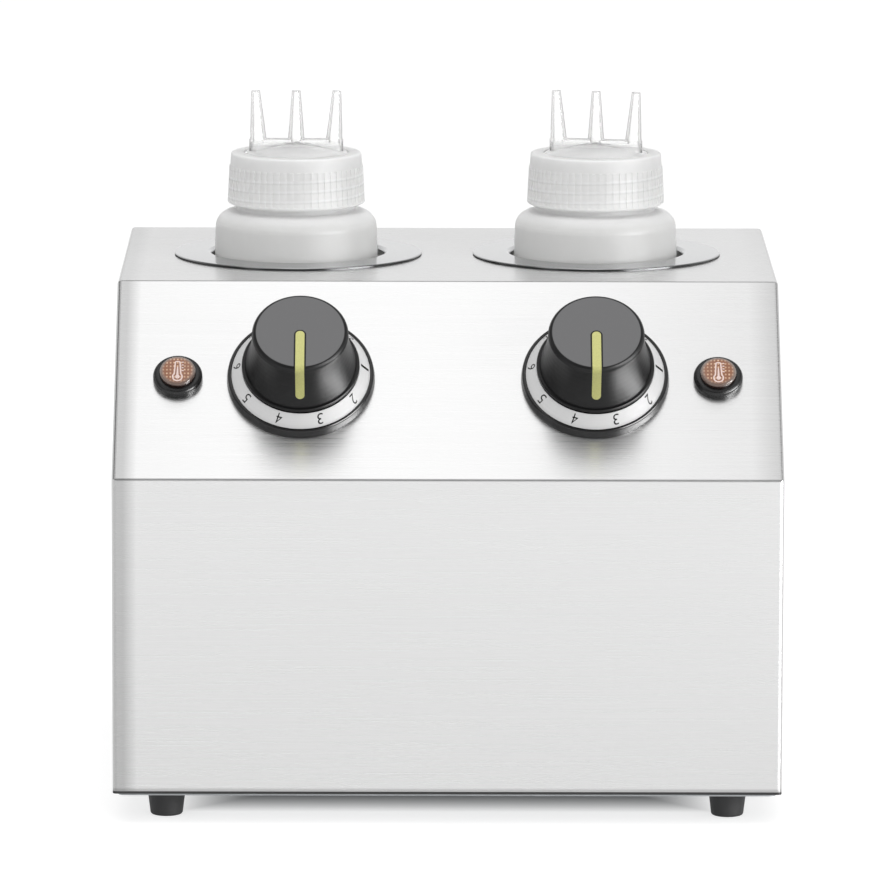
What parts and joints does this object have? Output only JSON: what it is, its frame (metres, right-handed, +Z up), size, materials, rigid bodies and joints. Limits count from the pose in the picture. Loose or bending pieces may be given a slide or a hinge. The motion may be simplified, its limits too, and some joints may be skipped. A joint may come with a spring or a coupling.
{
  "type": "hot fudge topping warmer",
  "caption": "Countertop stainless topping warmer with sloped control panel, dial thermostats and pilot lamps; heated wells hold lift-out squeeze bottles with multi-nozzle caps.",
  "frame": {"origin": "centre of the overall footprint, on the surface that the rubber feet stand on", "axes": "+Z up; +Y towards the rear cover and cord gland; +X to the right seen from the front"},
  "size_m": [0.3, 0.267, 0.3107],
  "materials": {
    "stainless_sheet": "brushed, satin",
    "plain_steel": "plain sheet",
    "drawn_stainless": "spun, satin",
    "plated_fastener": "zinc plated",
    "foot_rubber": "matt moulded",
    "heater_mica": "mica band in steel jacket",
    "copper_tube": "drawn copper",
    "thermostat_case": "moulded phenolic",
    "shaft_steel": "turned, plated",
    "bezel_black": "moulded, semi-gloss",
    "dial_aluminium": "satin, printed figures",
    "knob_black": "fine moulded texture",
    "pointer_yellow": "moulded inlay",
    "lamp_black": "moulded, glossy",
    "lamp_amber": "translucent amber lens",
    "bottle_poly": "translucent polyethylene",
    "insert_poly": "translucent polypropylene",
    "collar_poly": "translucent polypropylene",
    "block_nylon": "moulded nylon",
    "earth_brass": "turned brass",
    "gland_black": "moulded nylon",
    "lead_earth": "green and yellow lead",
    "lead_silicone": "silicone sleeved lead"
  },
  "bodies": {
    "root": {"housing_shell": "stainless_sheet", "rear_cover": "stainless_sheet", "base_plate": "plain_steel", "rubber_feet": "foot_rubber", "foot_screws": "plated_fastener", "foot_nuts": "plated_fastener", "base_screws": "plated_fastener", "cover_screws": "plated_fastener", "well_nuts": "plated_fastener", "heater_screws": "plated_fastener", "thermostat_screws": "plated_fastener", "terminal_block": "block_nylon", "terminal_block_screws": "plated_fastener", "earth_stud": "earth_brass", "earth_lead": "lead_earth", "cord_gland": "gland_black", "well_left": "drawn_stainless", "well_right": "drawn_stainless", "heater_left": "heater_mica", "heater_right": "heater_mica", "bulb_clip_left": "plain_steel", "bulb_clip_right": "plain_steel", "sensor_left": "copper_tube", "sensor_right": "copper_tube", "thermostat_left": "thermostat_case", "thermostat_right": "thermostat_case", "dial_bezel_left": "bezel_black", "dial_bezel_right": "bezel_black", "dial_scale_left": "dial_aluminium", "dial_scale_right": "dial_aluminium", "lamp_body_left": "lamp_black", "lamp_body_right": "lamp_black", "lamp_lens_left": "lamp_amber", "lamp_lens_right": "lamp_amber", "wiring_left": "lead_silicone", "wiring_right": "lead_silicone"},
    "left_knob": {"knob_left": "knob_black", "pointer_left": "pointer_yellow", "control_shaft_left": "shaft_steel"},
    "left_bottle": {"bottle_left": "bottle_poly"},
    "left_insert": {"nozzle_insert_left": "insert_poly"},
    "left_collar": {"cap_collar_left": "collar_poly"},
    "right_knob": {"knob_right": "knob_black", "pointer_right": "pointer_yellow", "control_shaft_right": "shaft_steel"},
    "right_bottle": {"bottle_right": "bottle_poly"},
    "right_insert": {"nozzle_insert_right": "insert_poly"},
    "right_collar": {"cap_collar_right": "collar_poly"}
  },
  "joints": [
    {"name": "left_knob_turn", "type": "hinge", "parent": "root", "child": "left_knob", "pos_m": [-0.0661, -0.0925, 0.19575], "axis": [0, -0.6869, 0.7268], "range_deg": [-135, 135]},
    {"name": "left_bottle_lift", "type": "slide", "parent": "root", "child": "left_bottle", "axis": [0, 0, 1], "range_m": [0, 0.18]},
    {"name": "left_insert_rise", "type": "slide", "parent": "left_bottle", "child": "left_insert", "axis": [0, 0, 1], "range_m": [0, 0.01126]},
    {"name": "left_collar_turn", "type": "hinge", "parent": "left_insert", "child": "left_collar", "pos_m": [-0.07015, 0.0365, 0.2822], "axis": [0, 0, 1], "range_deg": [0, 900]},
    {"name": "right_knob_turn", "type": "hinge", "parent": "root", "child": "right_knob", "pos_m": [0.0661, -0.0925, 0.19575], "axis": [0, -0.6869, 0.7268], "range_deg": [-135, 135]},
    {"name": "right_bottle_lift", "type": "slide", "parent": "root", "child": "right_bottle", "axis": [0, 0, 1], "range_m": [0, 0.18]},
    {"name": "right_insert_rise", "type": "slide", "parent": "right_bottle", "child": "right_insert", "axis": [0, 0, 1], "range_m": [0, 0.01126]},
    {"name": "right_collar_turn", "type": "hinge", "parent": "right_insert", "child": "right_collar", "pos_m": [0.06875, 0.0365, 0.2822], "axis": [0, 0, 1], "range_deg": [0, 900]}
  ],
  "couplings": [
    {"joint": "left_insert_rise", "follows": "left_collar_turn", "m_per_rad": 0.000716},
    {"joint": "right_insert_rise", "follows": "right_collar_turn", "m_per_rad": 0.000716}
  ]
}
